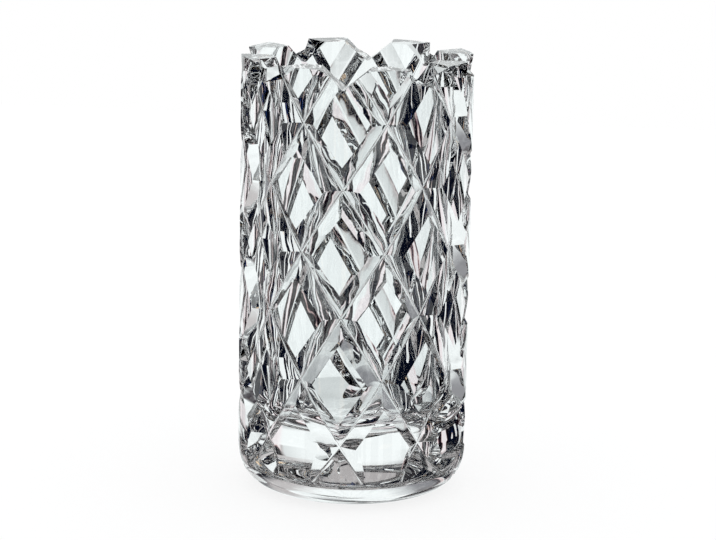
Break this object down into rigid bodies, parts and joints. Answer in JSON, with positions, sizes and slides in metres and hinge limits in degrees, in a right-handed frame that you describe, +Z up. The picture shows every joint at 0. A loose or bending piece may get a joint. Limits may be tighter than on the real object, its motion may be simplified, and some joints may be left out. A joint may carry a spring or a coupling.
{
  "type": "vase",
  "caption": "Heavy clear cut-glass cylinder vase with a lozenge lattice of deep spiral wheel cuts, a notched rim, a smooth bore and a thick solid base.",
  "frame": {"origin": "centre of the flat underside, on the surface that the vase stands on", "axes": "+Z up along the vase's axis through the bore; +X and -Y each pass through a notch of the rim"},
  "size_m": [0.105, 0.105, 0.2],
  "materials": {
    "crystal": "polished"
  },
  "bodies": {
    "root": {"vase_body": "crystal"}
  },
  "joints": []
}
